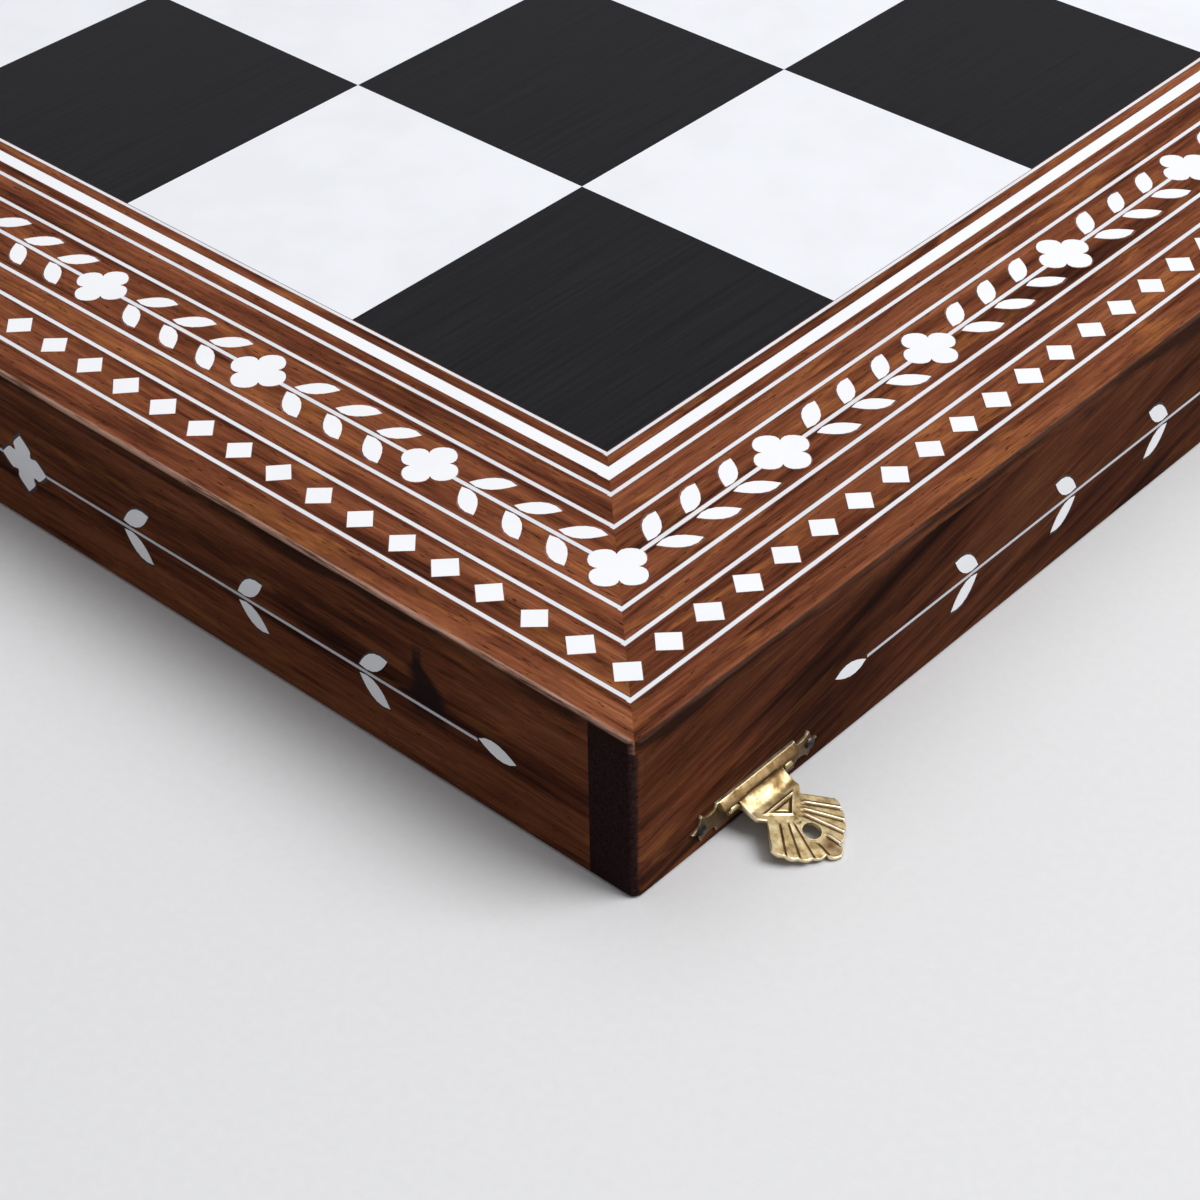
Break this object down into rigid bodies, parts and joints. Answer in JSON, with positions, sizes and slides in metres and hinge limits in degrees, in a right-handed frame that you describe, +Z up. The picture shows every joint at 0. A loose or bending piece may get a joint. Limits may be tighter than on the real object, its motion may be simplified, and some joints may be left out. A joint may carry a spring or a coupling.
{
  "type": "folding chess board",
  "caption": "Folding wooden chess board box: two hinged trays with an inlaid playing surface and two brass hasp clasps.",
  "frame": {"origin": "on the plane of the rims, on the fold line, midway along it", "axes": "+X from the fold to the clasps, +Y along the fold, +Z up through the playing surface, board laid open"},
  "size_m": [0.5016, 0.4848, 0.0281],
  "materials": {
    "sheesham": "oiled, low sheen",
    "plywood": "plain",
    "dark_wood": "stained black, satin",
    "white_inlay": "polished",
    "lining_felt": "napped cloth",
    "brass": "pressed, aged",
    "steel": "dull"
  },
  "bodies": {
    "clasp_half": {"clasp_half_back_wall": "sheesham", "clasp_half_border_back": "sheesham", "clasp_half_border_front": "sheesham", "clasp_half_border_long": "sheesham", "clasp_half_dark_squares": "dark_wood", "clasp_half_diamonds": "white_inlay", "clasp_half_flowers": "white_inlay", "clasp_half_front_wall": "sheesham", "clasp_half_hinge_wall": "sheesham", "clasp_half_leaves": "white_inlay", "clasp_half_light_squares": "white_inlay", "clasp_half_lining": "lining_felt", "clasp_half_long_wall": "sheesham", "clasp_half_panel": "plywood", "clasp_half_side_vines": "white_inlay", "clasp_half_thin_lines": "white_inlay", "clasp_half_vine_stems": "white_inlay", "clasp_half_wide_line": "white_inlay", "clasp_hinge_leaves": "brass", "clasp_hinge_screws": "brass", "clasp_pins": "brass", "clasp_plates": "brass", "clasp_tacks": "steel", "hinge_pins": "brass"},
    "catch_half": {"catch_half_back_wall": "sheesham", "catch_half_border_back": "sheesham", "catch_half_border_front": "sheesham", "catch_half_border_long": "sheesham", "catch_half_dark_squares": "dark_wood", "catch_half_diamonds": "white_inlay", "catch_half_flowers": "white_inlay", "catch_half_front_wall": "sheesham", "catch_half_hinge_wall": "sheesham", "catch_half_leaves": "white_inlay", "catch_half_light_squares": "white_inlay", "catch_half_lining": "lining_felt", "catch_half_long_wall": "sheesham", "catch_half_panel": "plywood", "catch_half_side_vines": "white_inlay", "catch_half_thin_lines": "white_inlay", "catch_half_vine_stems": "white_inlay", "catch_half_wide_line": "white_inlay", "catch_hinge_leaves": "brass", "catch_hinge_screws": "brass", "catch_plates": "brass", "catch_studs": "brass", "catch_tacks": "steel"},
    "hasp_front": {"hasp_front": "brass"},
    "hasp_back": {"hasp_back": "brass"}
  },
  "joints": [
    {"name": "board_fold", "type": "hinge", "parent": "clasp_half", "child": "catch_half", "pos_m": [0, 0, -0.0001], "axis": [0, -1, 0], "range_deg": [0, 180]},
    {"name": "hasp_front_swing", "type": "hinge", "parent": "clasp_half", "child": "hasp_front", "pos_m": [0.24325, -0.21915, 0.0042], "axis": [0, 1, 0], "range_deg": [-25.9, 74.08]},
    {"name": "hasp_back_swing", "type": "hinge", "parent": "clasp_half", "child": "hasp_back", "pos_m": [0.24325, 0.21915, 0.0042], "axis": [0, 1, 0], "range_deg": [-25.9, 74.08]}
  ]
}
